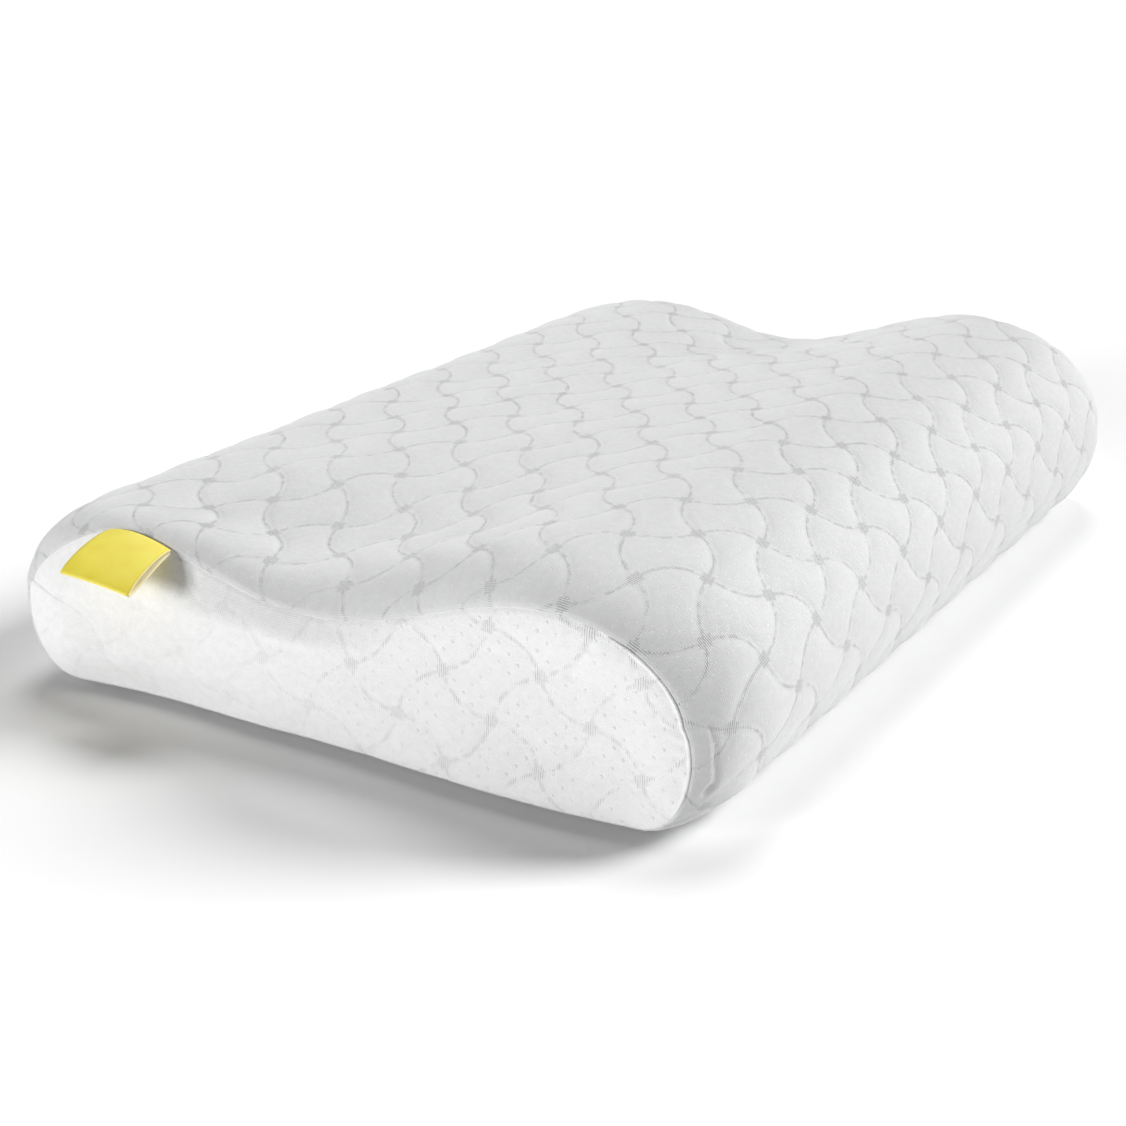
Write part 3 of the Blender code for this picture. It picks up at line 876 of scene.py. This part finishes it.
class PILLOW_OT_cover_ends(bpy.types.Operator):
    """Make the two knit end panels, sewn in along the end seams"""
    bl_idname = "pillow.cover_ends"
    bl_label = "End panels"

    def execute(self, context):
        settings = context.scene.pillow_cover
        section, draw, _ = cloth_section()
        seam_x = wrap_stations()[-1, 0]
        material = knit_material("end knit", tuple(settings.end_colour), END_TILES, END_KNIT)
        shares = PANEL_REACH * np.linspace(0.0, 1.0, PANEL_RINGS) ** PANEL_CLOSING
        for side, name in ((-1, "near"), (1, "far")):
            rim = ring_at(section, draw, side * seam_x, SEAM_INSET)
            rim[:, 1:] += inward_normals(rim[:, 1:]) * SEAM_GAP
            face = end_rings(rim, side, 0.0, shares)
            relief = end_relief(settings, face, rim, shares)
            if side < 0:
                relief = relief - pressed(END_CREASES, face[..., 1], face[..., 2])
            face[..., 0] += side * relief
            back = end_rings(rim, side, PANEL_THICKNESS, PANEL_BACK_SHARES)
            sunk = np.minimum(0.0, relief[0])[None, :] * END_SETTLED["back_follow"]
            back[..., 0] += side * (sunk - END_SETTLED["back_gap"])
            rings = np.concatenate([back, face])
            if side < 0:
                rings = np.concatenate([face[::-1], back[::-1]])
            mesh = loft_mesh("cover_end_" + name, rings, rings[..., 1], rings[..., 2])
            piece = add_piece("cover_end_" + name, mesh, material, "end_cover",
                              "end_panel_" + name)
        return {"FINISHED"}


class PILLOW_OT_ribbon_label(bpy.types.Operator):
    """Make the folded satin ribbon that is caught in the near end's seam"""
    bl_idname = "pillow.ribbon_label"
    bl_label = "Ribbon label"

    def execute(self, context):
        settings = context.scene.pillow_label
        grid, across, lengths = ribbon_grid(settings)
        columns, count = grid.shape[:2]
        corners = (np.arange(columns - 1)[:, None] * count + np.arange(count - 1)).reshape(-1, 1)
        faces = corners + np.array([0, 1, count + 1, count])
        mesh = bpy.data.meshes.new("ribbon_label")
        mesh.from_pydata(grid.reshape(-1, 3).tolist(), [], faces.tolist())
        layer = mesh.uv_layers.new(name="cloth")
        for loop in mesh.loops:
            column, index = divmod(loop.vertex_index, count)
            layer.data[loop.index].uv = (across[column], lengths[index])
        mesh.shade_smooth()
        material = satin_material("satin ribbon", tuple(settings.colour))
        piece = add_piece("ribbon_label", mesh, material, "satin_ribbon", "label_loop")
        back = satin_material("ribbon back", tuple(settings.inside_colour))
        mesh.materials.append(back)
        solid = piece.modifiers.new("ribbon thickness", "SOLIDIFY")
        solid.thickness = RIBBON_THICKNESS
        solid.offset = 0.0
        solid.material_offset = 1
        solid.material_offset_rim = 1
        return {"FINISHED"}


class PILLOW_OT_stage(bpy.types.Operator):
    """Set up the pale floor, the soft studio light and the photograph's camera"""
    bl_idname = "pillow.stage"
    bl_label = "Studio"

    def execute(self, context):
        settings = context.scene.pillow_stage
        scene = context.scene
        mesh = bpy.data.meshes.new("studio_floor")
        signs = ((-1, -1), (1, -1), (1, 1), (-1, 1))
        corners = [(x * FLOOR_REACH, y * FLOOR_REACH, FLOOR_Z) for x, y in signs]
        mesh.from_pydata(corners, [], [(0, 1, 2, 3)])
        mesh.materials.append(floor_material(tuple(settings.floor_colour)))
        floor = bpy.data.objects.new("studio_floor", mesh)
        scene.collection.objects.link(floor)

        world = bpy.data.worlds.new("studio")
        scene.world = world
        world.use_nodes = True
        tree = world.node_tree
        # dim all round, but white where the camera sees it
        around = tree.nodes["Background"]
        around.inputs["Color"].default_value = WHITE
        around.inputs["Strength"].default_value = settings.sky
        seen = tree.nodes.new("ShaderNodeBackground")
        seen.inputs["Color"].default_value = WHITE
        path = tree.nodes.new("ShaderNodeLightPath")
        choice = tree.nodes.new("ShaderNodeMixShader")
        tree.links.new(path.outputs["Is Camera Ray"], choice.inputs[0])
        tree.links.new(around.outputs[0], choice.inputs[1])
        tree.links.new(seen.outputs[0], choice.inputs[2])
        tree.links.new(choice.outputs[0], tree.nodes["World Output"].inputs["Surface"])

        lights = (
            # name, where it comes from, softness in degrees, strength
            ("side_light", (0.59, -0.60, 0.545), 26.0, settings.side_strength),
            ("low_light", (-0.850, 0.510, 0.125), 16.0, settings.low_strength),
            ("high_light", (0.415, 0.222, 0.883), 26.0, settings.high_strength),
        )
        for name, place, softness, strength in lights:
            data = bpy.data.lights.new(name, "SUN")
            data.angle = math.radians(softness)
            data.energy = strength
            light = bpy.data.objects.new(name, data)
            scene.collection.objects.link(light)
            light.matrix_world = aim(place)

        data = bpy.data.cameras.new("photo_camera")
        data.sensor_width = SENSOR_MM
        data.lens = CAMERA_FOCAL_PIXELS / IMAGE_PIXELS * SENSOR_MM
        camera = bpy.data.objects.new("photo_camera", data)
        scene.collection.objects.link(camera)
        camera.matrix_world = camera_matrix()
        scene.camera = camera
        scene.view_settings.view_transform = "Standard"
        scene.view_settings.look = "None"
        return {"FINISHED"}


def aim(place):
    """A matrix at place that looks at the origin along its own -Z."""
    back = np.array(place) / np.linalg.norm(place)
    right = np.cross((0.0, 0.0, 1.0), back)
    right = right / np.linalg.norm(right)
    up = np.cross(back, right)
    return axes_matrix(right, up, back, place)


def axes_matrix(right, up, back, place):
    """A 4 by 4 matrix from three axes and a place."""
    matrix = Matrix.Identity(4)
    for row in range(3):
        matrix[row][0], matrix[row][1] = float(right[row]), float(up[row])
        matrix[row][2], matrix[row][3] = float(back[row]), float(place[row])
    return matrix


def camera_matrix():
    """The camera's place and turn, from its angles round the pillow."""
    turn, rise, roll = CAMERA_TURN, CAMERA_RISE, CAMERA_ROLL
    back = np.array([math.sin(turn) * math.cos(rise), -math.cos(turn) * math.cos(rise),
                     math.sin(rise)])
    level = np.array([math.cos(turn), math.sin(turn), 0.0])
    upright = np.cross(back, level)
    right = math.cos(roll) * level + math.sin(roll) * upright
    up = math.cos(roll) * upright - math.sin(roll) * level
    place = CAMERA_OFFSET[0] * right + CAMERA_OFFSET[1] * up + CAMERA_DISTANCE * back
    return axes_matrix(right, up, back, place)


class PILLOW_PT_sidebar(bpy.types.Panel):
    """The pillow's settings and the steps that make it"""
    bl_idname = "PILLOW_PT_sidebar"
    bl_label = "Contour foam pillow"
    bl_space_type = "VIEW_3D"
    bl_region_type = "UI"
    bl_category = "Pillow"

    def draw(self, context):
        scene = context.scene
        groups = (
            ("Cover", scene.pillow_cover, ("puff", "end_puff", "unevenness", "seam_depth",
                                           "ridge", "wrap_shaded_colour", "end_colour"),
             ("pillow.cover_wrap", "pillow.cover_ends")),
            ("Label", scene.pillow_label, ("width", "length", "colour", "inside_colour"),
             ("pillow.ribbon_label",)),
            ("Studio", scene.pillow_stage, ("floor_colour", "side_strength",
                                            "low_strength", "high_strength", "sky"),
             ("pillow.stage",)),
        )
        for title, settings, names, operators in groups:
            box = self.layout.box()
            box.label(text=title)
            for name in names:
                box.prop(settings, name)
            for operator in operators:
                box.operator(operator)


CLASSES = (
    PillowCoverSettings, PillowLabelSettings, PillowStageSettings,
    PILLOW_OT_cover_wrap, PILLOW_OT_cover_ends, PILLOW_OT_ribbon_label, PILLOW_OT_stage,
    PILLOW_PT_sidebar,
)
SETTINGS = {
    "pillow_cover": PillowCoverSettings,
    "pillow_label": PillowLabelSettings,
    "pillow_stage": PillowStageSettings,
}


def register():
    for cls in CLASSES:
        bpy.utils.register_class(cls)
    for name, group in SETTINGS.items():
        setattr(bpy.types.Scene, name, PointerProperty(type=group))


def unregister():
    for name in SETTINGS:
        delattr(bpy.types.Scene, name)
    for cls in reversed(CLASSES):
        bpy.utils.unregister_class(cls)


def main():
    register()
    bpy.ops.pillow.stage()
    bpy.ops.pillow.cover_wrap()
    bpy.ops.pillow.cover_ends()
    bpy.ops.pillow.ribbon_label()


if __name__ == "__main__":
    main()
